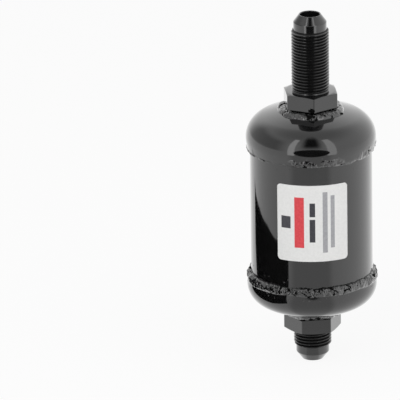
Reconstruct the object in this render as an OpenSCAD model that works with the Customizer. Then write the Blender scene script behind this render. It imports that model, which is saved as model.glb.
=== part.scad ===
/* [Shell] */
// Outside diameter of the body tube
tube_od = 61.8; // [56:0.2:74]
// Wall of the body tube
tube_wall = 2; // [1.2:0.1:3]
// Distance between the tangent lines of the two dished caps
shell_l = 77.9; // [74:0.1:140]
// Wall of the dished caps
cap_wall = 1.6; // [1.2:0.1:2.4]
// Radial clearance of a cap on the tube
cap_fit = 0.1; // [0.05:0.01:0.2]
// Length of the skirt of a cap
skirt_l = 5.4; // [5:0.1:9]
// How much the skirt closes in from the tangent line to its end
skirt_draft = 0.3; // [0.1:0.05:0.6]
// How much thinner the cap's wall is at the skirt's end
skirt_thinning = 0.3; // [0:0.05:0.5]
// Outside crown radius of a cap
crown_r = 66; // [45:0.1:80]
// Outside knuckle radius of a cap
knuckle_r = 11.5; // [8:0.1:14]
// Space between the end of the tube and the cap's tangent line
tube_end_space = 1; // [0.6:0.1:2]

/* [Fittings] */
// Major diameter of both threads
thread_d = 19.05; // [17.5:0.05:20]
// Thread of the long outlet fitting, from its shoulder
outlet_thread_l = 32.4; // [18:0.1:50]
// Thread of the short inlet fitting, from its shoulder
inlet_thread_l = 9; // [7:0.1:20]
// Step from the thread's crest down to the plain pilot
pilot_step = 1.1; // [0.8:0.05:1.6]
// Plain pilot between the thread and the flare cone
pilot_l = 3.8; // [2:0.1:6]
// Chamfer at the start of the thread
thread_chamfer = 0.8; // [0.4:0.1:1.2]
// Half angle of the flare cone
flare_angle = 37; // [30:0.5:45]
// Diameter of the flare cone's tip
nose_d = 11.1; // [10.8:0.1:12.6]
// Bore through both fittings
bore_d = 9.9; // [7:0.1:10.2]
// Chamfer at each end of the bore
bore_chamfer = 0.3; // [0.1:0.05:0.4]
// Hexagon across flats
hex_af = 25.4; // [24:0.1:30]
// Thickness of the hexagon
hex_t = 7.9; // [5:0.1:12]
// Angle of the chamfer on the hexagon's corners
hex_chamfer_angle = 15; // [10:1:45]
// Turn of the outlet hexagon about the axis
outlet_hex_turn = 6; // [0:1:59]
// Turn of the inlet hexagon about the axis
inlet_hex_turn = 38; // [0:1:59]
// Diameter of the spigot that passes through a cap
spigot_d = 19; // [17:0.1:20]
// Radial clearance of the spigot in the cap's hole
spigot_fit = 0.1; // [0.05:0.01:0.2]
// Outlet spigot below its hexagon
outlet_spigot_l = 14; // [12:0.1:18]
// Inlet spigot above its hexagon
inlet_spigot_l = 10.9; // [8:0.1:13]
// Space between a hexagon and the dome, which its weld fills
hex_stand_off = 1.4; // [0:0.1:2.5]

/* [Weld beads] */
// Leg of the inlet seam bead along the tube
inlet_seam_tube_leg = 2.1; // [0.8:0.1:3]
// Leg of the outlet seam bead along the tube
outlet_seam_tube_leg = 0.9; // [0.5:0.1:3]
// Leg of the inlet seam bead along the cap's skirt
inlet_seam_leg = 2.6; // [1:0.1:4]
// Leg of the outlet seam bead along the cap's skirt
outlet_seam_leg = 0.5; // [0.3:0.1:2]
// Longer leg of the outlet seam bead where two runs of weld overlap
outlet_seam_overlap = 4.2; // [0:0.1:5]
// Turn of that overlap about the axis
outlet_overlap_turn = -12; // [-180:1:180]
// How far the inlet seam bead stands out
inlet_seam_bulge = 0.75; // [0.4:0.05:1.2]
// How far the outlet seam bead stands out
outlet_seam_bulge = 0.4; // [0.2:0.05:1]
// Ripples round a seam bead
seam_ripples = 45; // [24:1:60]
// Width of a fitting bead outside the hexagon
fitting_bead_w = 2.4; // [1.5:0.1:3.5]
// Height of a fitting bead above the dome
fitting_bead_h = 1.5; // [1.2:0.1:2.5]
// Ripples round a fitting bead
fitting_ripples = 18; // [8:1:24]
// Space between a bead and the metal that it joins
bead_fit = 0.03; // [0.02:0.01:0.05]

/* [Label] */
// Width of the label round the tube
label_w = 37; // [20:0.5:60]
// Height of the label
label_h = 40.5; // [20:0.5:48]
// Thickness of the label
label_t = 0.15; // [0.1:0.05:0.3]
// Corner radius of the label
label_corner = 2; // [1:0.1:5]
// Height of the label's centre above the middle of the tube
label_rise = 2.9; // [0:0.1:4]

/* [Filter element] */
// Space for oil between the element and the tube
flow_gap = 3.1; // [2:0.1:5]
// Sheet thickness of the end discs
disc_t = 0.8; // [0.6:0.1:1.2]
// Rim of an end disc over the pleats
disc_rim = 4; // [3:0.1:8]
// Layer of adhesive in an end disc
potting_t = 1.6; // [1:0.1:2.5]
// Number of pleats
pleats = 40; // [30:1:44]
// Thickness of the pleated medium
media_t = 0.55; // [0.3:0.05:0.7]
// Outside diameter of the centre tube
core_d = 26; // [25.6:0.1:30]
// Wall of the centre tube
core_wall = 0.8; // [0.6:0.1:1]
// Diameter of a hole in the centre tube
core_hole_d = 3.6; // [2:0.1:4.2]
// Holes round the centre tube
core_holes = 8; // [5:1:9]
// Distance between rows of holes
core_row_pitch = 6; // [5:0.1:9]
// Radial thickness of the grommet
grommet_w = 2; // [1.5:0.1:2]
// Height of the grommet
grommet_h = 5; // [4:0.1:6]
// Clearance of parts that seat in each other
seat_fit = 0.05; // [0.02:0.01:0.1]

/* [Springs and bypass valve] */
// Height of the fitted preload spring
preload_l = 21.8; // [18:0.1:26]
// Wire of the preload spring
preload_wire = 1.8; // [1.2:0.1:2.2]
// Mean diameter of the preload spring
preload_d = 31; // [28:0.5:33]
// Active turns of the preload spring
preload_turns = 2.5; // [2:0.5:3]
// Thickness of the spring plate
plate_t = 1; // [0.8:0.1:1.5]
// Bore of the bypass seat
seat_bore_d = 9; // [6:0.1:10]
// Land round the bore that the poppet closes on
seat_land = 1.6; // [1:0.1:2]
// Height of the seat above the closed end disc
seat_h = 3; // [2:0.1:5]
// Travel of the poppet
poppet_travel = 3.5; // [2:0.1:4.5]
// Thickness of the poppet's disc
poppet_t = 1.6; // [1:0.1:2.5]
// Diameter of the poppet's stem
stem_d = 3; // [2.4:0.1:3.6]
// Radial clearance of the stem in its guide
stem_fit = 0.06; // [0.03:0.01:0.1]
// Diameter of the shoulder that stops the poppet
shoulder_d = 5.4; // [4.8:0.1:6]
// Fitted height of the bypass spring
bypass_l = 17; // [14:0.1:22]
// Wire of the bypass spring
bypass_wire = 1; // [0.7:0.1:1.2]
// Mean diameter of the bypass spring
bypass_d = 9.6; // [8.8:0.1:10.4]
// Active turns of the bypass spring
bypass_turns = 5; // [3:0.5:6]
// Sheet thickness of the bypass cage
cage_t = 0.7; // [0.5:0.1:1]
// Radial space between the poppet and the cage
cage_space = 1.8; // [1:0.1:2]
// Width of a window in the cage
window_w = 7; // [4:0.1:9]
// Height of a window in the cage
window_h = 9; // [5:0.1:10]

/* [Hidden] */
$fn = 96;

paint = "#1b1b1d";
zinc = "#b9bcc0";

tube_r = tube_od / 2;
tube_ir = tube_r - tube_wall;
cap_r = tube_r + cap_fit + skirt_draft + cap_wall;
skirt_r = tube_r + cap_fit + cap_wall - skirt_thinning;
spigot_r = spigot_d / 2;
cap_hole_r = spigot_r + spigot_fit;
thread_r = thread_d / 2;
pilot_r = thread_r - pilot_step;
nose_r = nose_d / 2;
bore_r = bore_d / 2;
flare_l = (pilot_r - nose_r) / tan(flare_angle);
hex_r = hex_af / 2 / cos(30);

// Crown and knuckle arcs meet on the line through their centres
cap_depth = crown_r - sqrt(pow(crown_r - knuckle_r, 2) - pow(cap_r - knuckle_r, 2));
crown_centre = cap_depth - crown_r;
meet_angle = asin((cap_r - knuckle_r) / (crown_r - knuckle_r));

// The outlet shoulder is at zero, and everything else is stacked below it
outlet_apex = -hex_t - hex_stand_off + crown_r - sqrt(crown_r * crown_r - cap_hole_r * cap_hole_r);
outlet_tangent = outlet_apex - cap_depth;
inlet_tangent = outlet_tangent - shell_l;
inlet_shoulder = inlet_tangent + outlet_tangent;
tube_top = outlet_tangent - tube_end_space;
tube_bottom = inlet_tangent + tube_end_space;
tube_middle = (tube_top + tube_bottom) / 2;
outlet_skirt_end = outlet_tangent - skirt_l;
inlet_skirt_end = inlet_tangent + skirt_l;

// Element between the outlet spigot and the spring plate
grommet_top = -hex_t - outlet_spigot_l + grommet_h;
grommet_r = spigot_r + seat_fit + grommet_w;
collar_ir = grommet_r + seat_fit;
element_r = tube_ir - flow_gap;
element_top = -hex_t - outlet_spigot_l - disc_t;
plate_r = preload_d / 2 + preload_wire;
plate_bottom = inlet_dome_z(plate_r) + seat_fit;
element_bottom = plate_bottom + plate_t + preload_l;
media_top = element_top - disc_t - potting_t;
media_bottom = element_bottom + disc_t + potting_t;
media_or = element_r - disc_t - 0.3;
core_r = core_d / 2;
core_ir = core_r - core_wall;
media_ir = core_r + 0.4;

// Bypass valve inside the closed end of the element
seat_bore_r = seat_bore_d / 2;
poppet_r = seat_bore_r + seat_land;
seat_r = poppet_r + 0.2;
seat_flange_r = seat_r + 1.2;
seat_flange_t = 1;
seat_face = element_bottom + disc_t + seat_h;
poppet_bottom = seat_face + 0.02;
poppet_top = poppet_bottom + poppet_t;
cage_ir = poppet_r + cage_space;
cage_or = cage_ir + cage_t;
cage_top = poppet_top + bypass_l;
cage_foot = element_bottom + disc_t;
cage_flange_r = core_ir - 0.3;
window_bottom = poppet_top + 0.5;
guide_h = 2;
stem_over = 1.5;

// Height of the inside of the inlet dome at a radius
function inlet_dome_z(r) =
    inlet_tangent - crown_centre - sqrt(pow(crown_r - cap_wall, 2) - r * r);

// Height of the outside of a dome at a radius, from its tangent line
function dome_height(r) = crown_centre + sqrt(crown_r * crown_r - r * r);

// Uneven hand of the welder, between about -1 and 1
function waver(a, seed) =
    0.45 * sin(2 * a + 70 * seed) + 0.3 * sin(5 * a + 131 * seed) + 0.25 * sin(11 * a + 47 * seed);

// Overlapping ripples, between 0 and 1, with each one's own size
function ripple(a, count, seed) =
    abs(sin(a * count / 2)) * (0.75 + 0.25 * sin(floor(a * count / 360) * 137.5 + 30 * seed));

// Faces between closed rings of m points, n rings in a closed loop
function loop_faces(n, m) = [
    for (i = [0:n - 1], j = [0:m - 1])
        let (k = (i + 1) % n, l = (j + 1) % m, a = i * m + j, b = i * m + l, c = k * m + l, d = k * m + j)
            each [[a, c, b], [a, d, c]]
];

// Faces of a rod of n rings of m points, with flat ends
function rod_faces(n, m) = [
    for (i = [0:n - 2], j = [0:m - 1])
        let (l = (j + 1) % m, a = i * m + j, b = i * m + l, c = b + m, d = a + m)
            each [[a, c, b], [a, d, c]],
    [for (j = [0:m - 1]) j],
    [for (j = [m - 1:-1:0]) (n - 1) * m + j],
];

// A weld bead: one closed ring of radius and height pairs at each station
module bead(stations) {
    n = len(stations);
    points = [
        for (i = [0:n - 1], p = stations[i])
            let (a = 360 * i / n) [p[0] * cos(a), p[0] * sin(a), p[1]]
    ];
    polyhedron(points = points, faces = loop_faces(n, len(stations[0])), convexity = 6);
}

// Section of a seam bead over the step from tube to skirt, drawn for a cap below the tube
function seam_section(tube_leg, cap_leg, bulge) =
    let (
        inner = tube_r + bead_fit,
        outer = skirt_r + bead_fit,
        lean = cap_leg * (cap_r - skirt_r) / skirt_l
    )
    [
        [inner, bead_fit],
        [inner, tube_leg],
        [0.6 * inner + 0.4 * outer + 0.4 * bulge, 0.95 * tube_leg],
        [outer + 0.5 * bulge, 0.55 * tube_leg],
        [outer + bulge + 0.2 * lean, -0.2 * cap_leg],
        [outer + 0.75 * bulge + 0.7 * lean, -0.7 * cap_leg],
        [outer + lean, -cap_leg],
        [outer, bead_fit],
    ];

// A seam bead, whose legs and bulge follow the welder's hand, longer on the cap at the overlap
module seam_bead(tube_leg, cap_leg, leg_swing, bulge, seed, overlap = 0, overlap_turn = 0) {
    n = 4 * seam_ripples;
    bead([
        for (i = [0:n - 1])
            let (
                a = 360 * i / n,
                w = waver(a, seed),
                r = ripple(a + 12 * w, seam_ripples, seed),
                doubled = pow(max(0, cos(a - overlap_turn)), 4)
            )
                seam_section(
                    tube_leg * (0.85 + 0.25 * waver(a + 40, seed) + 0.25 * r),
                    cap_leg * (1 + leg_swing * w) + overlap * doubled,
                    bulge * (0.75 + 0.35 * waver(a + 90, seed) + 0.4 * r)
                )
    ]);
}

// Radius of the hexagon's edge at an angle
function hex_edge(a) = hex_af / 2 / cos(((a % 60) + 60) % 60 - 30);

// Bead in the space between a hexagon and a dome, the dome's apex up
module fitting_bead(turn, seed) {
    n = 4 * fitting_ripples;
    root_r = cap_hole_r + 1.2;
    underside = dome_height(cap_hole_r) + hex_stand_off - bead_fit;
    bead([
        for (i = [0:n - 1])
            let (
                a = 360 * i / n,
                grow = 1 + 0.12 * waver(a, seed) + 0.18 * ripple(a, fitting_ripples, seed),
                edge = 0.6 * hex_edge(a - turn) + 0.2 * (hex_af + hex_r) * 0.93,
                toe = edge + fitting_bead_w * grow,
                top = dome_height(edge) + fitting_bead_h * grow
            )
            [
                [root_r, underside],
                for (k = [0:3])
                    let (r = root_r + (toe - root_r) * k / 3) [r, dome_height(r) + bead_fit],
                [toe - 0.25 * fitting_bead_w, dome_height(toe) + 0.62 * fitting_bead_h * grow],
                [edge + 0.35 * fitting_bead_w, min(underside, top - 0.2)],
                [edge, underside],
            ]
    ]);
}

// A coil spring with one closed turn at each end, from z = 0 to its height
module spring(mean_r, wire_d, height, turns) {
    sides = 8;
    steps = 18;
    closed = 1;
    rise = wire_d * 1.06;
    total = turns + 2 * closed;
    active_h = height - wire_d - 2 * closed * rise;
    function centre_z(t) = wire_d / 2
        + rise * (min(t, closed) + max(t - closed - turns, 0))
        + active_h * min(max(t - closed, 0), turns) / turns;
    n = total * steps + 1;
    points = [
        for (i = [0:n - 1], j = [0:sides - 1])
            let (
                t = i / steps,
                side = 90 - 360 * j / sides,
                r = mean_r + wire_d / 2 * cos(side)
            )
            [r * cos(360 * t), r * sin(360 * t), centre_z(t) + wire_d / 2 * sin(side)]
    ];
    polyhedron(points = points, faces = rod_faces(n, sides), convexity = 12);
}

// Points of an arc about a centre, its angles counted from straight up
function arc(centre, r, from, to, steps) = [
    for (i = [0:steps])
        let (a = from + (to - from) * i / steps)
            centre + r * [sin(a), cos(a)]
];

// A pressed cap with its skirt and the hole for a spigot, dome up, its tangent line at zero
module dished_cap() {
    crown = [0, crown_centre];
    knuckle = [cap_r - knuckle_r, 0];
    inner_crown_r = crown_r - cap_wall;
    rotate_extrude()
        polygon(concat(
            arc(crown, crown_r, asin(cap_hole_r / crown_r), meet_angle, 10),
            arc(knuckle, knuckle_r, meet_angle, 90, 16),
            [[skirt_r, -skirt_l], [tube_r + cap_fit, -skirt_l]],
            arc(knuckle, knuckle_r - cap_wall, 90, meet_angle, 16),
            arc(crown, inner_crown_r, meet_angle, asin(cap_hole_r / inner_crown_r), 10)
        ));
}

// Hexagon with its outer corners chamfered, outer face at zero
module hexagon(turn) {
    intersection() {
        translate([0, 0, -hex_t]) rotate(turn) cylinder(r = hex_r, h = hex_t, $fn = 6);
        translate([0, 0, -hex_t])
            rotate_extrude()
                polygon([
                    [0, 0], [hex_r + 1, 0],
                    [hex_r + 1, hex_t - (hex_r + 1 - hex_af / 2 + 0.3) * tan(hex_chamfer_angle)],
                    [hex_af / 2 - 0.3, hex_t], [0, hex_t],
                ]);
    }
}

// A turned fitting: flare cone, pilot, thread, hexagon and spigot, shoulder at zero
module fitting(thread_l, spigot_l, turn) {
    tip = thread_l + pilot_l + flare_l;
    foot = -hex_t - spigot_l;
    difference() {
        union() {
            rotate_extrude()
                polygon([
                    [0, foot],
                    [spigot_r - 0.6, foot], [spigot_r, foot + 0.6],
                    [spigot_r, -hex_t / 2], [thread_r, -hex_t / 2],
                    [thread_r, thread_l - thread_chamfer], [thread_r - thread_chamfer, thread_l],
                    [pilot_r, thread_l], [pilot_r, thread_l + pilot_l],
                    [nose_r, tip], [0, tip],
                ]);
            hexagon(turn);
        }
        translate([0, 0, foot - 1]) cylinder(r = bore_r, h = tip - foot + 2);
        bore_mouth(tip);
        mirror([0, 0, 1]) bore_mouth(-foot);
    }
}

// Countersink of the bore, with its mouth at a height
module bore_mouth(height) {
    translate([0, 0, height - bore_chamfer])
        cylinder(r1 = bore_r, r2 = bore_r + 2 * bore_chamfer, h = 2 * bore_chamfer);
}

// Sheet end disc of the element, rim down, its face at zero and a hole of a radius
module end_disc(hole_r) {
    rotate_extrude()
        polygon([
            [hole_r, 0], [element_r - disc_t, 0], [element_r, -disc_t],
            [element_r, -disc_rim], [element_r - disc_t, -disc_rim],
            [element_r - disc_t, -disc_t], [hole_r, -disc_t],
        ]);
}

module potting_ring() {
    rotate_extrude()
        translate([core_r + seat_fit, 0])
            square([element_r - disc_t - core_r - 2 * seat_fit, potting_t]);
}

module body_tube() {
    color(paint)
        translate([0, 0, tube_bottom])
            rotate_extrude()
                translate([tube_ir, 0]) square([tube_wall, tube_top - tube_bottom]);
}

module outlet_cap() {
    color(paint) translate([0, 0, outlet_tangent]) dished_cap();
}

module inlet_cap() {
    color(paint) translate([0, 0, inlet_tangent]) mirror([0, 0, 1]) dished_cap();
}

module outlet_fitting() {
    color(paint) fitting(outlet_thread_l, outlet_spigot_l, outlet_hex_turn - 90);
}

module inlet_fitting() {
    color(paint)
        translate([0, 0, inlet_shoulder])
            mirror([0, 0, 1]) fitting(inlet_thread_l, inlet_spigot_l, inlet_hex_turn - 90);
}

module outlet_seam_weld() {
    color(paint)
        translate([0, 0, outlet_skirt_end])
            mirror([0, 0, 1])
                seam_bead(
                    outlet_seam_tube_leg, outlet_seam_leg, 0.4, outlet_seam_bulge, 1,
                    outlet_seam_overlap, outlet_overlap_turn
                );
}

module inlet_seam_weld() {
    color(paint)
        translate([0, 0, inlet_skirt_end])
            seam_bead(inlet_seam_tube_leg, inlet_seam_leg, 0.3, inlet_seam_bulge, 2);
}

module outlet_fitting_weld() {
    color(paint) translate([0, 0, outlet_tangent]) fitting_bead(outlet_hex_turn - 90, 3);
}

module inlet_fitting_weld() {
    color(paint)
        translate([0, 0, inlet_tangent])
            mirror([0, 0, 1]) fitting_bead(inlet_hex_turn - 90, 4);
}

// Outline of the label, flat
module label_outline(w, h, r) {
    square([w - 2 * r, h], center = true);
    square([w, h - 2 * r], center = true);
    for (x = [-1, 1], y = [-1, 1])
        translate([x * (w / 2 - r), y * (h / 2 - r)]) circle(r = r, $fn = 48);
}

module label() {
    back_r = tube_r + 0.02;
    chord = 2 * back_r * sin(label_w / back_r * 90 / PI);
    color("#eeeeec")
        intersection() {
            translate([0, 0, tube_bottom])
                rotate_extrude() translate([back_r, 0]) square([label_t, tube_top - tube_bottom]);
            translate([0, 0, tube_middle + label_rise])
                rotate([90, 0, 0])
                    linear_extrude(height = 2 * tube_r) label_outline(chord, label_h, label_corner);
        }
}

// Corner points of one side of the pleated sheet, at the outer and the inner folds
function pleat_outer_side() = [
    for (i = [0:pleats - 1])
        let (a = 360 * i / pleats, w = media_t / media_or * 180 / PI)
            each [
                polar(media_or - 0.25, a - w), polar(media_or, a - w / 2),
                polar(media_or, a + w / 2), polar(media_or - 0.25, a + w),
                polar(media_ir + 2 * media_t, a + 180 / pleats),
            ]
];
function pleat_inner_side() = [
    for (i = [0:pleats - 1])
        let (a = 360 * i / pleats, h = 180 / pleats, w = media_t / media_ir * 180 / PI)
            each [
                polar(media_or - 2 * media_t, a),
                polar(media_ir + 0.25, a + h - w), polar(media_ir, a + h - w / 2),
                polar(media_ir, a + h + w / 2), polar(media_ir + 0.25, a + h + w),
            ]
];
function polar(r, a) = [r * cos(a), r * sin(a)];

module pleated_media() {
    color("#e8dcb5")
        translate([0, 0, media_bottom])
            linear_extrude(height = media_top - media_bottom)
                difference() {
                    polygon(pleat_outer_side());
                    polygon(pleat_inner_side());
                }
}

module centre_tube() {
    rows = floor((media_top - media_bottom - core_hole_d) / core_row_pitch);
    first = (media_top + media_bottom - (rows - 1) * core_row_pitch) / 2;
    step = 360 / core_holes;
    color(zinc)
        difference() {
            translate([0, 0, element_bottom + disc_t])
                rotate_extrude()
                    translate([core_ir, 0])
                        square([core_wall, element_top - element_bottom - 2 * disc_t]);
            for (row = [0:rows - 1], i = [0:core_holes - 1])
                rotate((i + 0.25 + (row % 2) / 2) * step)
                    translate([core_ir - 1, 0, first + row * core_row_pitch])
                        rotate([0, 90, 0])
                            cylinder(d = core_hole_d, h = core_wall + 2, $fn = 32);
        }
}

module open_end_disc() {
    collar_h = grommet_h + 0.6;
    color(zinc) {
        translate([0, 0, element_top]) end_disc(spigot_r);
        translate([0, 0, element_top - disc_t])
            rotate_extrude()
                translate([collar_ir, 0]) square([disc_t, collar_h + disc_t]);
    }
}

module closed_end_disc() {
    color(zinc)
        translate([0, 0, element_bottom]) mirror([0, 0, 1]) end_disc(seat_r + seat_fit);
}

module outlet_potting() {
    color("#7d4a2a") translate([0, 0, media_top]) potting_ring();
}

module inlet_potting() {
    color("#7d4a2a") translate([0, 0, media_bottom - potting_t]) potting_ring();
}

// Rubber ring that seals the element's collar on the outlet spigot
module spigot_grommet() {
    seat = element_top + seat_fit;
    lip = 0.4;
    color("#26282a")
        rotate_extrude()
            polygon([
                [spigot_r + seat_fit, seat], [grommet_r - lip, seat], [grommet_r, seat + lip],
                [grommet_r, grommet_top - lip], [grommet_r - lip, grommet_top],
                [spigot_r + seat_fit + lip, grommet_top], [spigot_r + seat_fit, grommet_top - lip],
            ]);
}

module preload_spring() {
    color("#8f9396")
        translate([0, 0, plate_bottom + plate_t + seat_fit])
            spring(preload_d / 2, preload_wire, preload_l - 2 * seat_fit, preload_turns);
}

// Washer round the inlet spigot that carries the preload spring, its rim turned up
module spring_plate() {
    rim = 1.5;
    color(zinc)
        translate([0, 0, plate_bottom])
            rotate_extrude()
                polygon([
                    [cap_hole_r, 0], [plate_r, 0], [plate_r + plate_t, plate_t],
                    [plate_r + plate_t, plate_t + rim], [plate_r, plate_t + rim],
                    [plate_r, plate_t], [cap_hole_r, plate_t],
                ]);
}

// Turned ring in the closed end disc, with a flange below and the poppet's land above
module bypass_seat() {
    color("#b08d4a")
        rotate_extrude()
            polygon([
                [seat_bore_r, element_bottom - seat_flange_t],
                [seat_flange_r, element_bottom - seat_flange_t], [seat_flange_r, element_bottom],
                [seat_r, element_bottom], [seat_r, seat_face - 0.3],
                [seat_r - 0.3, seat_face], [seat_bore_r, seat_face],
            ]);
}

// Pressed cup over the valve, with windows and a drawn guide for the stem
module bypass_cage() {
    hole_r = stem_d / 2 + stem_fit;
    color(zinc)
        difference() {
            rotate_extrude()
                polygon([
                    [cage_flange_r, cage_foot], [cage_flange_r, cage_foot + cage_t],
                    [cage_or, cage_foot + cage_t], [cage_or, cage_top],
                    [cage_or - cage_t, cage_top + cage_t],
                    [hole_r + cage_t, cage_top + cage_t], [hole_r + cage_t, cage_top + guide_h],
                    [hole_r, cage_top + guide_h], [hole_r, cage_top],
                    [cage_ir, cage_top], [cage_ir, cage_foot],
                ]);
            for (a = [0, 90])
                rotate(a)
                    translate([-cage_or - 1, -window_w / 2, window_bottom])
                        cube([2 * cage_or + 2, window_w, window_h]);
        }
}

// Disc with a centring nose below, a stop shoulder and the guided stem above
module bypass_poppet() {
    nose_r = seat_bore_r - 0.4;
    shoulder_top = cage_top - poppet_travel - 0.05;
    stem_top = cage_top + guide_h + stem_over;
    color("#c9ccd0")
        rotate_extrude()
            polygon([
                [0, poppet_bottom - 1.5], [nose_r - 0.8, poppet_bottom - 1.5],
                [nose_r, poppet_bottom - 0.7], [nose_r, poppet_bottom],
                [poppet_r, poppet_bottom], [poppet_r, poppet_top],
                [shoulder_d / 2, poppet_top], [shoulder_d / 2, shoulder_top],
                [stem_d / 2, shoulder_top], [stem_d / 2, stem_top - 0.4],
                [stem_d / 2 - 0.4, stem_top], [0, stem_top],
            ]);
}

module bypass_spring() {
    color("#8f9396")
        translate([0, 0, poppet_top + seat_fit])
            spring(bypass_d / 2, bypass_wire, bypass_l - 2 * seat_fit, bypass_turns);
}

body_tube();
outlet_cap();
inlet_cap();
outlet_fitting();
inlet_fitting();
outlet_seam_weld();
inlet_seam_weld();
outlet_fitting_weld();
inlet_fitting_weld();
label();
pleated_media();
centre_tube();
open_end_disc();
closed_end_disc();
outlet_potting();
inlet_potting();
spigot_grommet();
preload_spring();
spring_plate();
bypass_seat();
bypass_cage();
bypass_poppet();
bypass_spring();
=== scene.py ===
"""Looks, light and camera for a welded in-line hydraulic filter in gloss black paint.

Shapes are worked out in millimetres in the CAD frame, with Z along the axis, the outlet shoulder
at zero and the label towards -Y. make_piece turns them into metres.
"""

import math
import random

import bmesh
import bpy
from mathutils import Matrix, Vector, noise


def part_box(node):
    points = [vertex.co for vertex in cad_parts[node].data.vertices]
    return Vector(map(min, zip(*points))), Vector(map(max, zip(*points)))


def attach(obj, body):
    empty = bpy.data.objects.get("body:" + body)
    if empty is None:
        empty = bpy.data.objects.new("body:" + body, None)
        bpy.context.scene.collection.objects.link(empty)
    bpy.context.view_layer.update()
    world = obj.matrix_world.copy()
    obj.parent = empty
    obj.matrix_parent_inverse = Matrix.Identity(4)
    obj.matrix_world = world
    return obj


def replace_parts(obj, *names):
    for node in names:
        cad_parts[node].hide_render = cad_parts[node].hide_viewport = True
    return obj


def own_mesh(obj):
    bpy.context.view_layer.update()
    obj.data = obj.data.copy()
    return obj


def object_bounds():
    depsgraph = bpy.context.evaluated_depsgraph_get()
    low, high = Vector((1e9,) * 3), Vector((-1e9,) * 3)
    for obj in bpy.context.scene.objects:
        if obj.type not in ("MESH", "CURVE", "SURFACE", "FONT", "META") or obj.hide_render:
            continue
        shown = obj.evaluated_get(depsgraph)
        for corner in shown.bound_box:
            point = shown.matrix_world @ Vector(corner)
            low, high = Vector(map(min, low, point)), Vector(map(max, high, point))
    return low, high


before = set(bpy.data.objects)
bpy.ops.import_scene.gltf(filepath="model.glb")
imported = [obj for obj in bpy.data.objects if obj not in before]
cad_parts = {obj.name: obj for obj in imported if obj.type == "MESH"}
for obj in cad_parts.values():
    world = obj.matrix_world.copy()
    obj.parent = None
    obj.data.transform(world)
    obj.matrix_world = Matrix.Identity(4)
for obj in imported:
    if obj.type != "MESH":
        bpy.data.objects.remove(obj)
cad_low, cad_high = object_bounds()

MM = 0.001


def top_of(node):
    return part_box(node)[1].z / MM


def foot_of(node):
    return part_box(node)[0].z / MM


def reach_of(node):
    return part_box(node)[1].x / MM


# Shell, from the frame where the frame shows it
TUBE_R = reach_of("body_tube")
TUBE_WALL = 2.0
CAP_R = reach_of("outlet_cap")
CAP_WALL = 1.6
CAP_FIT = 0.1
SKIRT_L = 5.4
SKIRT_DRAFT = 0.3
SKIRT_THINNING = 0.3
SKIRT_ROUNDING = 0.5
TUBE_TOP = top_of("body_tube")
TUBE_BOTTOM = foot_of("body_tube")
OUTLET_SKIRT_END = foot_of("outlet_cap")
INLET_SKIRT_END = top_of("inlet_cap")
SKIRT_R = CAP_R - SKIRT_DRAFT - SKIRT_THINNING
# The crowns lie within half a millimetre of the solids' common one: the real upper dish is flatter
OUTLET_CROWN_R = 75.0
INLET_CROWN_R = 60.0
OUTLET_TANGENT = OUTLET_SKIRT_END + SKIRT_L
INLET_TANGENT = INLET_SKIRT_END - SKIRT_L

# Fittings: size 8 flare ends with a 3/4-16 thread
THREAD_R = 9.525
THREAD_PITCH = 1.5875
THREAD_DEPTH = 0.97
THREAD_CHAMFER = 0.8
OUTLET_THREAD_L = 32.4
INLET_THREAD_L = 9.0
PILOT_R = 8.425
PILOT_L = 3.8
FLARE_ANGLE = 37
NOSE_R = 5.55
BORE_R = 4.95
BORE_CHAMFER = 0.3
HEX_AF = 25.4
HEX_T = 7.9
HEX_CHAMFER_ANGLE = 15
HEX_CORNER_CUT = 0.09
HEX_FACE_INSET = 0.3
HEX_EDGE = [(0.12, 0.0), (0.03, 0.05), (0, 0.16)]
OUTLET_HEX_TURN = 6 - 90
INLET_HEX_TURN = 38 - 90
SPIGOT_R = 9.5
CAP_HOLE_R = 9.6
OUTLET_SPIGOT_L = 14.0
INLET_SPIGOT_L = 10.9
HEX_STAND_OFF = 1.4
INLET_TIP = foot_of("inlet_fitting")
FLARE_L = (PILOT_R - NOSE_R) / math.tan(math.radians(FLARE_ANGLE))
INLET_SHOULDER = INLET_TIP + INLET_THREAD_L + PILOT_L + FLARE_L

# Label
LABEL_W = 37.0
LABEL_H = 40.5
LABEL_T = 0.15
LABEL_CORNER = 2.0
LABEL_FIT = 0.04
LABEL_MIDDLE = (top_of("label") + foot_of("label")) / 2
# Plain fields on it: left, right, foot and top from its centre, and 1 red, 2 dark or 3 grey
LABEL_FIELDS = [
    (-9.2, -4.3, -12.9, 13.9, 1),
    (-1.5, 1.3, 3.6, 10.9, 2), (-1.5, 1.3, -9.9, 2.2, 2),
    (5.1, 7.6, -15.6, 16.6, 3), (9.2, 11.3, -13.2, 14.6, 3),
    (-16.2, -11.2, -2.9, 3.5, 2),
]

# Welds
WELD_GAP = 0.75
WELD_SINK = 0.12
DOME_SINK = 0.08
BOX_MARGIN = 0.01
OVERLAP_L = 4.3
FRONT_RUN_L = 3.4
ROUND_BEAD_R = 13.6
FITTING_BEAD_REACH = 3.5
FITTING_BEAD_LIMIT = 18.9
FITTING_BEAD_UNDERCUT = 0.9
FITTING_BEAD_RIM = 1.3

# A nick in the foot of the upper hexagon and a crater in the bead below it
NICK_TURN = OUTLET_HEX_TURN - 4.5
NICK_HEIGHT = 1.15 - HEX_T
NICK_SIZE = 1.5
NICK_DEPTH = 1.3
CRATER_TURN = OUTLET_HEX_TURN - 1.5
CRATER_R = 15.9
CRATER_Z = -HEX_T - 0.9
CRATER_DEPTH = 0.8
CRATER_SIZE = 1.0

# Spatter
SPATTER_COUNT = 150
SPATTER_SEED = 5
SPATTER_SIZE = (0.16, 0.42)
SPATTER_FLATNESS = 0.6
SPATTER_ROOM = 0.15

# Floor: in the gloss it is greyer before the filter than at its sides
FRONT_TURN = 36
FRONT_LEVEL = 0.69
# Share of plain white in the floor that the camera sees; the rest is lit and carries the shadow
CAMERA_SHARE = 0.9

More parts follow.
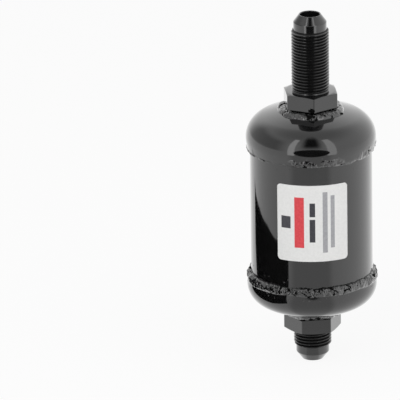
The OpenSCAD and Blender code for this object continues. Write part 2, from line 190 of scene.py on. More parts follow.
# Bypass spring
SPRING_WIRE = 1.0
SPRING_MEAN_R = 4.8
SPRING_TURNS = 5.0

# Camera: a long lens, a little above the filter, with the whole frame this wide at the axis
FRAME_W = 200.7
PIXELS = 400
CAMERA_D = 4000.0
CAMERA_ELEVATION = 19.9
CAMERA_ROLL = 0.8
SHOULDER_X_PX = 310.5
SHOULDER_Y_PX = 89.5


def wave(angle, seed):
    """Uneven hand of the welder round the axis, between about -1 and 1."""
    return (0.45 * math.sin(2 * angle + 1.2 * seed) + 0.3 * math.sin(5 * angle + 2.3 * seed)
            + 0.25 * math.sin(11 * angle + 0.8 * seed))


def mix(a, b, t):
    return a + (b - a) * t


def smooth_step(low, high, value):
    t = min(max((value - low) / (high - low), 0.0), 1.0)
    return t * t * (3 - 2 * t)


# Node materials

class Surface:
    """A Principled material whose grain, wear and relief come from noise in object space."""

    def __init__(self, name):
        self.material = bpy.data.materials.new(name)
        self.material.use_nodes = True
        self.tree = self.material.node_tree
        self.shader = self.tree.nodes["Principled BSDF"]
        self.place = self.tree.nodes.new("ShaderNodeTexCoord").outputs["Object"]
        self.relief = None

    def node(self, kind, **inputs):
        made = self.tree.nodes.new(kind)
        for name, value in inputs.items():
            socket = made.inputs[name.replace("_", " ")]
            if isinstance(value, bpy.types.NodeSocket):
                self.tree.links.new(value, socket)
            else:
                socket.default_value = value
        return made

    def set(self, **values):
        for name, value in values.items():
            self.shader.inputs[name.replace("_", " ")].default_value = value
        return self

    def link(self, output, socket):
        self.tree.links.new(output, self.shader.inputs[socket])

    def noise(self, scale, detail=4.0, stretch=(1, 1, 1), roughness=0.55):
        moved = self.node("ShaderNodeMapping", Vector=self.place, Scale=stretch)
        return self.node("ShaderNodeTexNoise", Vector=moved.outputs["Vector"], Scale=scale,
                         Detail=detail, Roughness=roughness).outputs["Fac"]

    def spots(self, scale, size):
        """White where a fleck lies, black elsewhere."""
        cells = self.node("ShaderNodeTexVoronoi", Vector=self.place, Scale=scale)
        ramp = self.node("ShaderNodeMapRange", Value=cells.outputs["Distance"])
        ramp.inputs["From Min"].default_value = size
        ramp.inputs["From Max"].default_value = 0.5 * size
        return ramp.outputs["Result"]

    def span(self, value, low, high, start=0.3, end=0.7):
        ramp = self.node("ShaderNodeMapRange", Value=value)
        for name, number in (("From Min", start), ("From Max", end), ("To Min", low), ("To Max", high)):
            ramp.inputs[name].default_value = number
        return ramp.outputs["Result"]

    def blend(self, factor, dark, light):
        made = self.tree.nodes.new("ShaderNodeMix")
        made.data_type = "RGBA"
        self.tree.links.new(factor, made.inputs["Factor"])
        for socket, value in ((made.inputs["A"], dark), (made.inputs["B"], light)):
            if isinstance(value, bpy.types.NodeSocket):
                self.tree.links.new(value, socket)
            else:
                socket.default_value = (*value, 1)
        return made.outputs["Result"]

    def bump(self, height, depth_mm, strength=1.0):
        """Adds relief of that depth over what is there already."""
        made = self.node("ShaderNodeBump", Height=height, Distance=depth_mm * MM, Strength=strength)
        if self.relief:
            self.tree.links.new(self.relief, made.inputs["Normal"])
        self.relief = made.outputs["Normal"]
        self.link(self.relief, "Normal")
        return self


def gloss_paint(name, tone, rough, peel_depth, coat=1.0, film=0.04, level=0.5):
    """Black enamel: orange peel, a few dust nibs and a film that is thinner in places.

    film is the roughness of the clear coat, and level the strength of the reflection under it.
    """
    s = Surface(name)
    low, high = tone
    s.link(s.blend(s.noise(240, 3), (low, low, low), (high, high, high * 1.05)), "Base Color")
    s.link(s.span(s.noise(160, 5), *rough), "Roughness")
    s.set(IOR=1.5, Specular_IOR_Level=level, Coat_Weight=coat, Coat_Roughness=film, Coat_IOR=1.5)
    s.bump(s.noise(420, 2), peel_depth)
    s.bump(s.spots(190, 0.055), 0.02, 0.5)
    return s.material


def plain_metal(name, dark, light, rough, grain, stretch=(1, 1, 1), depth=0.006):
    """Bare or plated metal with a directed grain."""
    s = Surface(name)
    grained = s.noise(grain, 6, stretch)
    s.link(s.blend(s.span(grained, 0, 1), dark, light), "Base Color")
    s.link(s.span(s.noise(grain / 3, 4, stretch), *rough), "Roughness")
    s.set(Metallic=1.0)
    s.bump(grained, depth)
    return s.material


def matt_solid(name, dark, light, rough, grain, depth, stretch=(1, 1, 1), level=0.5):
    """Rubber, adhesive, paper and the painted shade of hollows: mottled, with a fine tooth."""
    s = Surface(name)
    s.set(Specular_IOR_Level=level)
    s.link(s.blend(s.span(s.noise(grain, 5, stretch), 0, 1), dark, light), "Base Color")
    s.link(s.span(s.noise(grain * 0.6, 3, stretch), *rough), "Roughness")
    s.bump(s.noise(grain * 2, 6, stretch), depth)
    return s.material


def label_face(name, dark, light):
    """Satin coated paper with a faint fibre and a slight yellowing."""
    s = Surface(name)
    s.link(s.blend(s.span(s.noise(900, 4), 0, 1), dark, light), "Base Color")
    s.link(s.span(s.noise(300, 4), 0.32, 0.44), "Roughness")
    s.bump(s.noise(1800, 3), 0.004)
    return s.material


PAINT = gloss_paint("gloss_black", (0.0035, 0.0065), (0.06, 0.12), 0.0035, film=0.055)
FITTING_PAINT = gloss_paint("gloss_black_fitting", (0.004, 0.009), (0.05, 0.12), 0.004)
BEAD_PAINT = gloss_paint("gloss_black_bead", (0.004, 0.009), (0.05, 0.14), 0.012, level=0.9)
# Painted shade: a near-black matt with little reflection, for the insides of the nick, the crater and the
# crevices between weld drops.
PIT_SHADE = matt_solid("pit_painted_shade", (0.0015, 0.0015, 0.0015), (0.004, 0.004, 0.004), (0.75, 0.95), 600, 0.01, level=0.08)
# Painted shade: a darker, duller black for the thread roots.
GROOVE_SHADE = gloss_paint("gloss_black_groove_painted_shade", (0.002, 0.004), (0.35, 0.5), 0.004, coat=0.1, level=0.2)
LABEL_WHITE = label_face("label_white", (0.80, 0.80, 0.79), (0.86, 0.86, 0.85))
LABEL_RED = label_face("label_red", (0.68, 0.045, 0.06), (0.80, 0.07, 0.085))
LABEL_GREY = label_face("label_grey", (0.34, 0.34, 0.36), (0.42, 0.42, 0.44))
LABEL_DARK = label_face("label_dark", (0.035, 0.035, 0.045), (0.06, 0.06, 0.07))
# Painted shade: a dark grey for the label's cut edge, which draws a dark outline round it.
LABEL_EDGE_SHADE = label_face("label_edge_painted_shade", (0.10, 0.10, 0.10), (0.16, 0.16, 0.16))
ZINC = plain_metal("zinc_plate", (0.50, 0.51, 0.52), (0.72, 0.73, 0.74), (0.24, 0.42), 260)
WIRE = plain_metal("spring_wire", (0.22, 0.22, 0.23), (0.40, 0.40, 0.41), (0.28, 0.46), 500)
TURNED = plain_metal("turned_steel", (0.46, 0.46, 0.47), (0.68, 0.68, 0.69), (0.16, 0.32), 380, (0.2, 0.2, 9))
BRASS = plain_metal("turned_brass", (0.56, 0.37, 0.13), (0.80, 0.60, 0.28), (0.18, 0.34), 380, (0.2, 0.2, 9))
MEDIUM = matt_solid("pleated_medium", (0.62, 0.49, 0.27), (0.84, 0.73, 0.48), (0.7, 0.9), 900, 0.03,
                    (1, 1, 0.4))
ADHESIVE = matt_solid("adhesive", (0.20, 0.075, 0.03), (0.36, 0.15, 0.06), (0.3, 0.5), 300, 0.02)
RUBBER = matt_solid("rubber", (0.012, 0.012, 0.013), (0.03, 0.03, 0.031), (0.5, 0.7), 700, 0.01)


# Mesh builders

def make_piece(name, points, faces, material, slot, crease=38):
    """A piece on the canister from millimetre points, smooth where its faces meet at less than the crease."""
    mesh = bpy.data.meshes.new(name)
    mesh.from_pydata([Vector(p) * MM for p in points], [], faces)
    shape = bmesh.new()
    shape.from_mesh(mesh)
    bmesh.ops.remove_doubles(shape, verts=shape.verts, dist=1e-7)
    bmesh.ops.recalc_face_normals(shape, faces=shape.faces)
    shape.to_mesh(mesh)
    shape.free()
    mesh.shade_smooth()
    mesh.set_sharp_from_angle(angle=math.radians(crease))
    mesh.materials.append(material)
    obj = bpy.data.objects.new(name, mesh)
    bpy.context.scene.collection.objects.link(obj)
    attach(obj, "canister")
    return obj


def recolour(obj, material, chosen):
    """Gives a second material to the faces whose centre, in millimetres, is chosen."""
    obj.data.materials.append(material)
    for face in obj.data.polygons:
        if chosen(face.center / MM):
            face.material_index = 1


def loft(rings, closed=True):
    """Points and faces through rings of one count; closed joins the last ring to the first."""
    count = len(rings[0])
    faces = []
    for i in range(len(rings) if closed else len(rings) - 1):
        a, b = i * count, (i + 1) % len(rings) * count
        faces += [(a + j, a + (j + 1) % count, b + (j + 1) % count, b + j) for j in range(count)]
    return [p for ring in rings for p in ring], faces


def even_angles(count):
    return [2 * math.pi * i / count for i in range(count)]


def circle(radius, z, angles):
    return [(radius * math.cos(a), radius * math.sin(a), z) for a in angles]


def arc(centre, radius, start, end, steps):
    """Section points of an arc, its angles in degrees counted from straight up."""
    turns = [math.radians(mix(start, end, i / steps)) for i in range(steps + 1)]
    return [(centre[0] + radius * math.sin(t), centre[1] + radius * math.cos(t)) for t in turns]


def soften(section, cuts, steps=3):
    """Rounds the corners of a closed section whose index is in cuts, with that much cut back each side.

    A point beyond each rounding keeps the shading of a long face level up to it.
    """
    done = []
    for i, corner in enumerate(section):
        cut = cuts.get(i)
        if not cut:
            done.append(corner)
            continue
        here = Vector(corner)
        to_last, to_next = Vector(section[i - 1]) - here, Vector(section[(i + 1) % len(section)]) - here
        before, after = here + to_last.normalized() * cut, here + to_next.normalized() * cut
        if to_last.length > 5 * cut:
            done.append(tuple(here + to_last.normalized() * 1.7 * cut))
        for k in range(steps + 1):
            t = k / steps
            done.append(tuple(before * (1 - t) ** 2 + here * 2 * t * (1 - t) + after * t * t))
        if to_next.length > 5 * cut:
            done.append(tuple(here + to_next.normalized() * 1.7 * cut))
    return done


# Shell

class Cap:
    """A dished cap: its crown arc runs into a knuckle arc, and the hole's edge has the CAD's height.

    Heights count from the tangent line towards the crown; up is 1 for the outlet cap and -1 for the
    inlet cap.
    """

    def __init__(self, node, tangent, up, crown_r):
        self.node, self.tangent, self.up, self.crown_r = node, tangent, up, crown_r
        rise = top_of("outlet_cap") - OUTLET_TANGENT
        drop = math.sqrt(crown_r ** 2 - CAP_HOLE_R ** 2) - rise
        self.knuckle_r = (crown_r ** 2 - CAP_R ** 2 - drop ** 2) / (2 * (crown_r - CAP_R))
        self.centre = -drop
        self.meet = math.asin((CAP_R - self.knuckle_r) / (crown_r - self.knuckle_r))

    def height(self, r):
        """Height of the outside at a radius."""
        if r < self.crown_r * math.sin(self.meet):
            return self.centre + math.sqrt(self.crown_r ** 2 - r ** 2)
        return math.sqrt(max(self.knuckle_r ** 2 - (r - CAP_R + self.knuckle_r) ** 2, 0))

    def radius(self, height):
        """Radius of the outside at a height on the skirt or the knuckle."""
        if height <= 0:
            return mix(CAP_R, SKIRT_R, -height / SKIRT_L)
        return CAP_R - self.knuckle_r + math.sqrt(max(self.knuckle_r ** 2 - height ** 2, 0))

    def z(self, r):
        return self.tangent + self.up * self.height(r)

    def section(self):
        crown, knuckle = (0, self.centre), (CAP_R - self.knuckle_r, 0)
        meet = math.degrees(self.meet)
        inner_r = self.crown_r - CAP_WALL
        hole = math.degrees(math.asin(CAP_HOLE_R / self.crown_r))
        inner_hole = math.degrees(math.asin(CAP_HOLE_R / inner_r))
        outside = arc(crown, self.crown_r, hole, meet, 20) + arc(knuckle, self.knuckle_r, meet, 90, 34)[1:]
        upright = [(CAP_R - 0.01, -0.5), (CAP_R - 0.03, -1.0), (CAP_R - 0.1, -1.7)]
        edge = [(SKIRT_R, -SKIRT_L), (TUBE_R + CAP_FIT, -SKIRT_L)]
        inside = arc(knuckle, self.knuckle_r - CAP_WALL, 90, meet, 16)
        inside += arc(crown, inner_r, meet, inner_hole, 10)[1:]
        corner = len(outside) + len(upright)
        return soften(outside + upright + edge + inside, {corner: SKIRT_ROUNDING, corner + 1: 0.2})

    def make(self, name):
        angles = even_angles(216)
        rings = [circle(r, self.tangent + self.up * z, angles) for r, z in self.section()]
        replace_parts(make_piece(name, *loft(rings), PAINT, "black_paint"), self.node)


def make_tube():
    section = soften([(TUBE_R, TUBE_BOTTOM), (TUBE_R, TUBE_TOP),
                      (TUBE_R - TUBE_WALL, TUBE_TOP), (TUBE_R - TUBE_WALL, TUBE_BOTTOM)],
                     {i: 0.25 for i in range(4)})
    angles = even_angles(216)
    rings = [circle(r, z, angles) for r, z in section]
    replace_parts(make_piece("drawn_tube", *loft(rings), PAINT, "black_paint"), "body_tube")


# Fittings

def hex_angles(turn):
    """Angles round a hexagon, close together at its corners."""
    near_corner = [23.5, 24.5, 25.5, 26.5, 27.5, 28.5, 29.3]
    offsets = [-30] + [-d for d in reversed(near_corner)] + list(range(-22, 23, 4)) + near_corner
    return [math.radians(turn + 60 * side + 30 + d) for side in range(6) for d in offsets]


def hex_radius(angle, turn):
    """Distance from the axis to the hexagon's edge, its sharp corners cut back by the paint and the tool."""
    from_flat = (math.degrees(angle) - turn) % 60 - 30
    corner = HEX_AF / 2 / math.cos(math.radians(30)) - HEX_CORNER_CUT
    return min(HEX_AF / 2 / math.cos(math.radians(from_flat)), corner)


def make_fitting(name, node, shoulder, out, thread_l, spigot_l, turn, nicks=()):
    """The turned bar without its thread: cone, pilot, core, hexagon and spigot; out is 1 up and -1 down."""
    angles = hex_angles(turn)
    tip = thread_l + PILOT_L + FLARE_L
    foot = -HEX_T - spigot_l
    face_r = HEX_AF / 2 - HEX_FACE_INSET
    slope = math.tan(math.radians(HEX_CHAMFER_ANGLE))

    def ring(r, z):
        return circle(r, shoulder + out * z, angles)

    def nicked(r, angle, z):
        """Radius of a hexagon's side where a round nick bites into it."""
        for at, height, size in nicks:
            across = r * (angle - math.radians(at))
            inside = size ** 2 - across ** 2 - (z - height) ** 2
            if inside > 0:
                r -= NICK_DEPTH * inside / size ** 2
        return r

    def hex_ring(inset, drop):
        ring_points = []
        for a in angles:
            r = hex_radius(a, turn) - inset
            z = -max(r - face_r, 0) * slope - drop if drop < 0.2 else -drop
            r = nicked(r, a, z)
            ring_points.append((r * math.cos(a), r * math.sin(a), shoulder + out * z))
        return ring_points

    nose = soften([(BORE_R, foot + 1), (BORE_R, tip - BORE_CHAMFER), (BORE_R + BORE_CHAMFER, tip),
                   (NOSE_R, tip), (PILOT_R, tip - FLARE_L), (PILOT_R, thread_l / 2)],
                  {1: 0.08, 2: 0.05, 3: 0.12, 4: 0.3})
    foot_end = soften([(SPIGOT_R, -HEX_T - 1), (SPIGOT_R, foot + 0.6), (SPIGOT_R - 0.6, foot),
                       (BORE_R + BORE_CHAMFER, foot), (BORE_R, foot + BORE_CHAMFER)], {1: 0.15, 2: 0.15})
    rings = [ring(r, z) for r, z in nose]
    rings += [ring(PILOT_R, 0), ring(face_r - 0.15, 0), ring(face_r, -0.03)]
    rings += [hex_ring(inset, drop) for inset, drop in HEX_EDGE]
    rings += [hex_ring(0, mix(0.75, HEX_T - 0.2, i / 30)) for i in range(31)]
    rings += [hex_ring(0.08, HEX_T - 0.04), hex_ring(0.25, HEX_T)]
    rings += [ring(SPIGOT_R, -HEX_T)] + [ring(r, z) for r, z in foot_end]
    piece = make_piece(name, *loft(rings), FITTING_PAINT, "black_paint", 32)
    for at, height, size in nicks:
        a = math.radians(at)
        middle = Vector((HEX_AF / 2 * math.cos(a), HEX_AF / 2 * math.sin(a), shoulder + out * height))

        def inside(centre):
            outward = Vector((math.cos(a), math.sin(a), 0))
            away = centre - middle
            away -= away.dot(outward) * outward
            return away.length < 0.96 * size and centre.dot(middle) > 0 and centre.xy.length > HEX_AF / 2 - 1

        # The faces inside the nick take the near-black matt: painted shade in the hollow.
        recolour(piece, PIT_SHADE, inside)
    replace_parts(piece, node)


def thread_radius(turn_part):
    """Radius at a place in one pitch, which is 0 and 1 at the middle of a crest.

    The crest is flat, the flanks are straight and the root is round.
    """
    from_crest = abs((turn_part + 0.5) % 1 - 0.5) * 2
    flank = min(max((from_crest - 0.1) / 0.7, 0.0), 1.0)
    eased = mix(flank, smooth_step(0, 1, flank), 0.22)
    return THREAD_R - THREAD_DEPTH * eased


def make_thread(name, node, shoulder, out, thread_l, run_out):
    """A right-handed helical thread round the core, cut away to nothing over run_out beside the hexagon."""
    steps = 144
    flank = (0.05, 0.075, 0.12, 0.2, 0.28, 0.34, 0.39, 0.44)
    marks = (0.0, *flank, 0.5, *(1 - mark for mark in reversed(flank)))
    turns = int(thread_l / THREAD_PITCH) + 2
    rings = []
    for turn in range(-1, turns):
        for mark in marks:
            points = []
            for i in range(steps + 1):
                share = i / steps
                z = (turn + mark + share) * THREAD_PITCH
                z = min(max(z, 0.0), thread_l)
                part = z / THREAD_PITCH - share
                r = thread_radius(part)
                r = mix(THREAD_R - 0.25, r, smooth_step(0.0, run_out, z))
                r = min(r, mix(PILOT_R, THREAD_R, (thread_l - z) / THREAD_CHAMFER * 1.02))
                angle = out * 2 * math.pi * share
                points.append((r * math.cos(angle), r * math.sin(angle), shoulder + out * z))
            rings.append(points)
    count = steps + 1
    faces = []
    for row in range(len(rings) - 1):
        for i in range(steps):
            a, b = row * count + i, (row + 1) * count + i
            faces.append((a, a + 1, b + 1, b))
    points = [p for ring in rings for p in ring]
    piece = make_piece(name, points, faces, FITTING_PAINT, "black_paint", 50)
    # The thread roots take a darker, duller black: painted shade in the grooves.
    recolour(piece, GROOVE_SHADE, lambda centre: centre.xy.length < THREAD_R - 0.38 * THREAD_DEPTH)
    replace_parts(piece, node)


# Weld beads

class Weld:
    """How rough a bead is, in mm: its rise, its drops, its grain and its ripples, with their count round it.

    A place further than pits from the middle of a drop is a crevice, and its shade is painted dark.
    """

    def __init__(self, seed, rise, drops, grain, ripple, ripples, pits=0.75):
        self.seed, self.rise, self.drops, self.grain = seed, rise, drops, grain
        self.ripple, self.ripples, self.pits = ripple, ripples, pits

    def in_shaded_crevice(self, place):
        """Whether a place lies in a crevice between two drops, whose shade is painted dark; there are more of
        them at the front.
        """
        shift = Vector((self.seed, 0, 0))
        front = math.exp(-(place.x / 6) ** 2) if place.y < 0 else 0
        far = self.pits - 0.12 * front + 0.15 * noise.noise(place * 0.9)
        return noise.voronoi(place * 0.36 + shift)[0][0] > far

    def height(self, angle, spot, t):
        """Height over the bead's section path at a place, t across it."""
        shift = Vector((self.seed, 0, 0))
        large = noise.voronoi(spot * 0.36 + shift)[0][0]
        small = noise.voronoi(spot * 0.85 - shift)[0][0]
        h = self.rise * (1 + 0.35 * wave(angle, self.seed))
        h += self.drops * ((0.55 - large) + 0.5 * (0.5 - small) + 0.8 * noise.noise(spot * 0.22 - shift))
        h += self.grain * noise.noise(spot * 2.4 + shift)
        bend = 0.6 * math.sin(math.pi * t) + 0.6 * wave(3 * angle, self.seed)
        part = (angle * self.ripples / (2 * math.pi) + bend) % 1
        crescent = smooth_step(0, 0.8, part) * (1 - smooth_step(0.84, 1.0, part))
        strength = 0.5 + 0.5 * noise.noise(spot * 0.12 + shift * 2)
        return h + self.ripple * strength * (crescent - 0.5)


def make_bead(name, node, section, facing, weld, keep_in, stations=1260, across=26, hollow=None):
    """A bead whose section(angle) gives start, corner and end of its path and the points of its back.

    hollow is a crater's middle, depth and size.
    """
    low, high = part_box(node)
    low, high = low / MM + Vector((BOX_MARGIN,) * 3), high / MM - Vector((BOX_MARGIN,) * 3)
    rings = []
    for i in range(stations):
        a = 2 * math.pi * i / stations
        start, corner, end, back = section(a)
        path = []
        for k in range(across):
            t = k / (across - 1)
            path.append(start * (1 - t) ** 2 + corner * 2 * t * (1 - t) + end * t * t)
        ring = []
        for k, point in enumerate(path):
            t = k / (across - 1)
            along = (path[min(k + 1, across - 1)] - path[max(k - 1, 0)]).normalized()
            outward = Vector((-along.y, along.x)) * facing
            spot = Vector((point.x * math.cos(a), point.x * math.sin(a), point.y))
            h = math.sin(math.pi * t) ** 0.5 * weld.height(a, spot, t)
            if hollow:
                h -= hollow[1] * math.exp(-((spot - hollow[0]).length / hollow[2]) ** 2)
            moved = keep_in(point + outward * h)
            ring.append((moved.x * math.cos(a), moved.x * math.sin(a), moved.y))
        ring += [(r * math.cos(a), r * math.sin(a), z) for r, z in back]
        rings.append([tuple(min(max(p[axis], low[axis]), high[axis]) for axis in range(3)) for p in ring])
    piece = make_piece(name, *loft(rings), BEAD_PAINT, "black_paint", 70)

    # Faces in the crevices and in the crater take the near-black matt: painted shade.
    def in_painted_shade(centre):
        return weld.in_shaded_crevice(centre) or bool(hollow) and (centre - hollow[0]).length < 0.85 * hollow[2]

    recolour(piece, PIT_SHADE, in_painted_shade)
    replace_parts(piece, node)


def make_seam(name, node, skirt_end, down, cap_leg, tube_leg, weld):
    """The bead over the step from the tube to a cap's skirt; down is 1 where the cap lies below its seam."""
    def section(a):
        leg, run = cap_leg(a), tube_leg(a)
        cap_r = mix(SKIRT_R, CAP_R, leg / SKIRT_L)
        start = Vector((TUBE_R - WELD_SINK, skirt_end + down * run))
        corner = Vector((SKIRT_R + 0.25, skirt_end + down * 0.45 * run))
        end = Vector((cap_r - WELD_SINK, skirt_end - down * leg))
        back_r = TUBE_R + CAP_FIT / 2
        return start, corner, end, ((back_r, end.y), (back_r, skirt_end))

    def keep_in(point):
        return Vector((max(point.x, TUBE_R - WELD_SINK), point.y))

    make_bead(name, node, section, down, weld, keep_in)


def make_fitting_weld(name, node, cap, turn, weld, hollow=None):
    """The bead in the space between a hexagon's foot and a cap."""
    foot = cap.z(CAP_HOLE_R) + cap.up * (HEX_STAND_OFF - WELD_GAP)

    def section(a):
        edge = hex_radius(a, turn)
        round_edge = mix(edge, ROUND_BEAD_R, 0.5)
        toe = min(round_edge + FITTING_BEAD_REACH + 0.5 * wave(a, weld.seed), FITTING_BEAD_LIMIT)
        start = Vector((edge - FITTING_BEAD_UNDERCUT, foot))
        corner = Vector((round_edge + 1.7, foot + cap.up * 0.3))
        end = Vector((toe, cap.z(toe) - cap.up * DOME_SINK))
        rim = CAP_HOLE_R + FITTING_BEAD_RIM
        return start, corner, end, ((rim, cap.z(rim) + cap.up * 0.05),)

    def keep_in(point):
        floor = cap.z(point.x) - cap.up * DOME_SINK
        return Vector((point.x, max(point.y, floor) if cap.up > 0 else min(point.y, floor)))

    make_bead(name, node, section, cap.up, weld, keep_in, stations=900, across=24, hollow=hollow)


def make_spatter():
    """Beads of spatter stuck to the caps and the tube near the welds."""
    rng = random.Random(SPATTER_SEED)
    shape = bmesh.new()
    for _ in range(SPATTER_COUNT):
        a = rng.uniform(0, 2 * math.pi)
        size = rng.uniform(*SPATTER_SIZE)
        zone = rng.random()
        if zone < 0.4:
            z = INLET_SKIRT_END - rng.uniform(2.6, 6.0)
            r = INLET_CAP.radius(INLET_TANGENT - z)
        elif zone < 0.65:
            z, r = INLET_SKIRT_END + rng.uniform(2.2, 6.5), TUBE_R
        elif zone < 0.85:
            z = OUTLET_SKIRT_END + rng.uniform(0.8, 5.5)
            r = OUTLET_CAP.radius(z - OUTLET_TANGENT)
        else:
            z, r = OUTLET_SKIRT_END - rng.uniform(1.6, 5.0), TUBE_R
        if r + SPATTER_FLATNESS * size > CAP_R + SPATTER_ROOM:
            continue
        place = Matrix.Translation(Vector((r * math.cos(a), r * math.sin(a), z)) * MM)
        squash = Matrix.Diagonal((SPATTER_FLATNESS, rng.uniform(0.8, 1.2), rng.uniform(0.8, 1.2), 1))
        turned = Matrix.Rotation(a, 4, "Z") @ squash
        bmesh.ops.create_icosphere(shape, subdivisions=3, radius=size * MM, matrix=place @ turned)
    mesh = bpy.data.meshes.new("weld_spatter")
    shape.to_mesh(mesh)
    shape.free()
    mesh.shade_smooth()
    mesh.materials.append(BEAD_PAINT)
    obj = bpy.data.objects.new("weld_spatter", mesh)
    bpy.context.scene.collection.objects.link(obj)
    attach(obj, "canister")


# Label

def spread(marks, step):
    """The marks in order, with more between them so that none lies further than a step from the next."""
    done = []
    for low, high in zip(marks, marks[1:]):
        count = max(math.ceil((high - low) / step - 1e-6), 1)
        done += [mix(low, high, i / count) for i in range(count)]
    return done + [marks[-1]]


def make_label():
    """A bent sheet with rounded corners; its fields are faces of other colours, edged by mesh lines."""
    half_w, half_h, corner = LABEL_W / 2 - 0.02, LABEL_H / 2 - 0.02, LABEL_CORNER
    across = sorted({-half_w + corner, half_w - corner} | {x for f in LABEL_FIELDS for x in f[:2]})
    down = sorted({-half_h + corner, half_h - corner} | {y for f in LABEL_FIELDS for y in f[2:4]})
    across, down = spread(across, 0.7), spread(down, 1.5)
    curve = [corner * (1 - math.cos(math.radians(t))) for t in range(0, 91, 10)]
    rows = [-half_h + c for c in curve[:-1]] + down + [half_h - c for c in reversed(curve[:-1])]

    def half_width(v):
        into = max(abs(v) - (half_h - corner), 0)
        return half_w - corner + math.sqrt(max(corner ** 2 - into ** 2, 0))

    def bent(u, v, r):
        a = u / TUBE_R - math.pi / 2
        return (r * math.cos(a), r * math.sin(a), LABEL_MIDDLE + v)

    grid = [[-half_width(v)] + across + [half_width(v)] for v in rows]
    front, back = TUBE_R + LABEL_FIT + LABEL_T * 0.8, TUBE_R + LABEL_FIT
    wide, tall = len(grid[0]), len(rows)
    points = [bent(u, v, front) for row, v in zip(grid, rows) for u in row]
    points += [bent(u, v, back) for row, v in zip(grid, rows) for u in row]
    faces, kinds = [], []
    for i in range(tall - 1):
        for j in range(wide - 1):
            k = i * wide + j
            faces.append((k, k + 1, k + wide + 1, k + wide))
            u = (grid[i][j] + grid[i][j + 1] + grid[i + 1][j] + grid[i + 1][j + 1]) / 4
            v = (rows[i] + rows[i + 1]) / 2
            inks = [f[4] for f in LABEL_FIELDS if f[0] < u < f[1] and f[2] < v < f[3]]
            kinds.append(inks[0] if inks else 0)
    rim = [j for j in range(wide)] + [i * wide + wide - 1 for i in range(1, tall)]
    rim += [(tall - 1) * wide + j for j in range(wide - 2, -1, -1)]
    rim += [i * wide for i in range(tall - 2, 0, -1)]
    lower = wide * tall
    for a, b in zip(rim, rim[1:] + rim[:1]):
        faces.append((a, b, b + lower, a + lower))
        # The cut edge takes the dark grey of painted shade.
        kinds.append(4)
    mesh = bpy.data.meshes.new("printed_label")
    mesh.from_pydata([Vector(p) * MM for p in points], [], faces)
    shape = bmesh.new()
    shape.from_mesh(mesh)
    for face, kind in zip(list(shape.faces), kinds):
        face.material_index = kind
    bmesh.ops.recalc_face_normals(shape, faces=shape.faces)
    shape.to_mesh(mesh)
    shape.free()
    mesh.shade_smooth()
    mesh.set_sharp_from_angle(angle=math.radians(40))
    for material in (LABEL_WHITE, LABEL_RED, LABEL_DARK, LABEL_GREY, LABEL_EDGE_SHADE):
        mesh.materials.append(material)
    obj = bpy.data.objects.new("printed_label", mesh)
    bpy.context.scene.collection.objects.link(obj)
    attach(obj, "canister")
    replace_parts(obj, "label")


# Bypass spring

def make_bypass_spring():
    """A round wire coil with one closed turn at each end, made at one length; the real spring shortens as the
    poppet lifts.
    """
    foot, top = foot_of("bypass_spring"), top_of("bypass_spring")
    rise = SPRING_WIRE * 1.06
    active = top - foot - SPRING_WIRE - 2 * rise
    steps, sides = 56, 16
    rings = []
    for i in range(int((SPRING_TURNS + 2) * steps) + 1):
        t = i / steps
        z = foot + SPRING_WIRE / 2 + rise * (min(t, 1) + max(t - 1 - SPRING_TURNS, 0))
        z += active * min(max(t - 1, 0), SPRING_TURNS) / SPRING_TURNS
        a = 2 * math.pi * t
        ring = []
        for j in range(sides):
            side = 2 * math.pi * j / sides
            r = SPRING_MEAN_R + SPRING_WIRE / 2 * math.cos(side)
            ring.append((r * math.cos(a), r * math.sin(a), z + SPRING_WIRE / 2 * math.sin(side)))
        rings.append(ring)
    points, faces = loft(rings, closed=False)
    faces += [tuple(range(sides)), tuple(len(points) - 1 - j for j in range(sides))]
    piece = make_piece("valve_spring", points, faces, WIRE, "spring_steel", 50)
    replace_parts(piece, "bypass_spring")
    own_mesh(piece)


OUTLET_CAP = Cap("outlet_cap", OUTLET_TANGENT, 1, OUTLET_CROWN_R)
INLET_CAP = Cap("inlet_cap", INLET_TANGENT, -1, INLET_CROWN_R)
make_tube()
OUTLET_CAP.make("upper_dish")
INLET_CAP.make("lower_dish")
make_fitting("outlet_bar", "outlet_fitting", 0.0, 1, OUTLET_THREAD_L, OUTLET_SPIGOT_L, OUTLET_HEX_TURN,
             [(NICK_TURN, NICK_HEIGHT, NICK_SIZE)])
make_fitting("inlet_bar", "inlet_fitting", INLET_SHOULDER, -1, INLET_THREAD_L, INLET_SPIGOT_L,
             INLET_HEX_TURN)
make_thread("outlet_thread_form", "outlet_fitting", 0.0, 1, OUTLET_THREAD_L, 1.6)
make_thread("inlet_thread_form", "inlet_fitting", INLET_SHOULDER, -1, INLET_THREAD_L, 0.8)


def between(a, low, high, soft):
    """1 at angles between low and high, in degrees from the label's middle to the right, 0 beyond."""
    turn = (math.degrees(a) + 90 + 180) % 360 - 180
    return smooth_step(low - soft, low + soft, turn) * (1 - smooth_step(high - soft, high + soft, turn))


def upper_seam_leg(a):
    """The upper seam is a thin line at the left, low and wide at the front and widest at the right."""
    front, right = between(a, -24, 30, 5), between(a, 42, 128, 9)
    return 0.35 + 0.2 * wave(a, 2) + FRONT_RUN_L * front + OVERLAP_L * right


def upper_seam_run(a):
    return 0.8 + 0.25 * wave(a + 0.7, 2) + 0.5 * between(a, 24, 42, 5)


def lower_seam_leg(a):
    return 2.7 + 0.8 * wave(a, 1)


def lower_seam_run(a):
    return 1.8 + 0.5 * wave(a + 0.7, 1)


LOWER_SEAM = Weld(seed=3.7, rise=0.62, drops=0.95, grain=0.14, ripple=0.28, ripples=110, pits=0.7)
UPPER_SEAM = Weld(seed=9.1, rise=0.2, drops=0.75, grain=0.14, ripple=0.12, ripples=130, pits=0.8)
UPPER_FITTING_BEAD = Weld(seed=2.3, rise=0.42, drops=0.35, grain=0.08, ripple=0.22, ripples=46)
LOWER_FITTING_BEAD = Weld(seed=6.4, rise=0.35, drops=0.5, grain=0.1, ripple=0.24, ripples=46)
crater_angle = math.radians(CRATER_TURN)
crater = Vector((CRATER_R * math.cos(crater_angle), CRATER_R * math.sin(crater_angle), CRATER_Z))

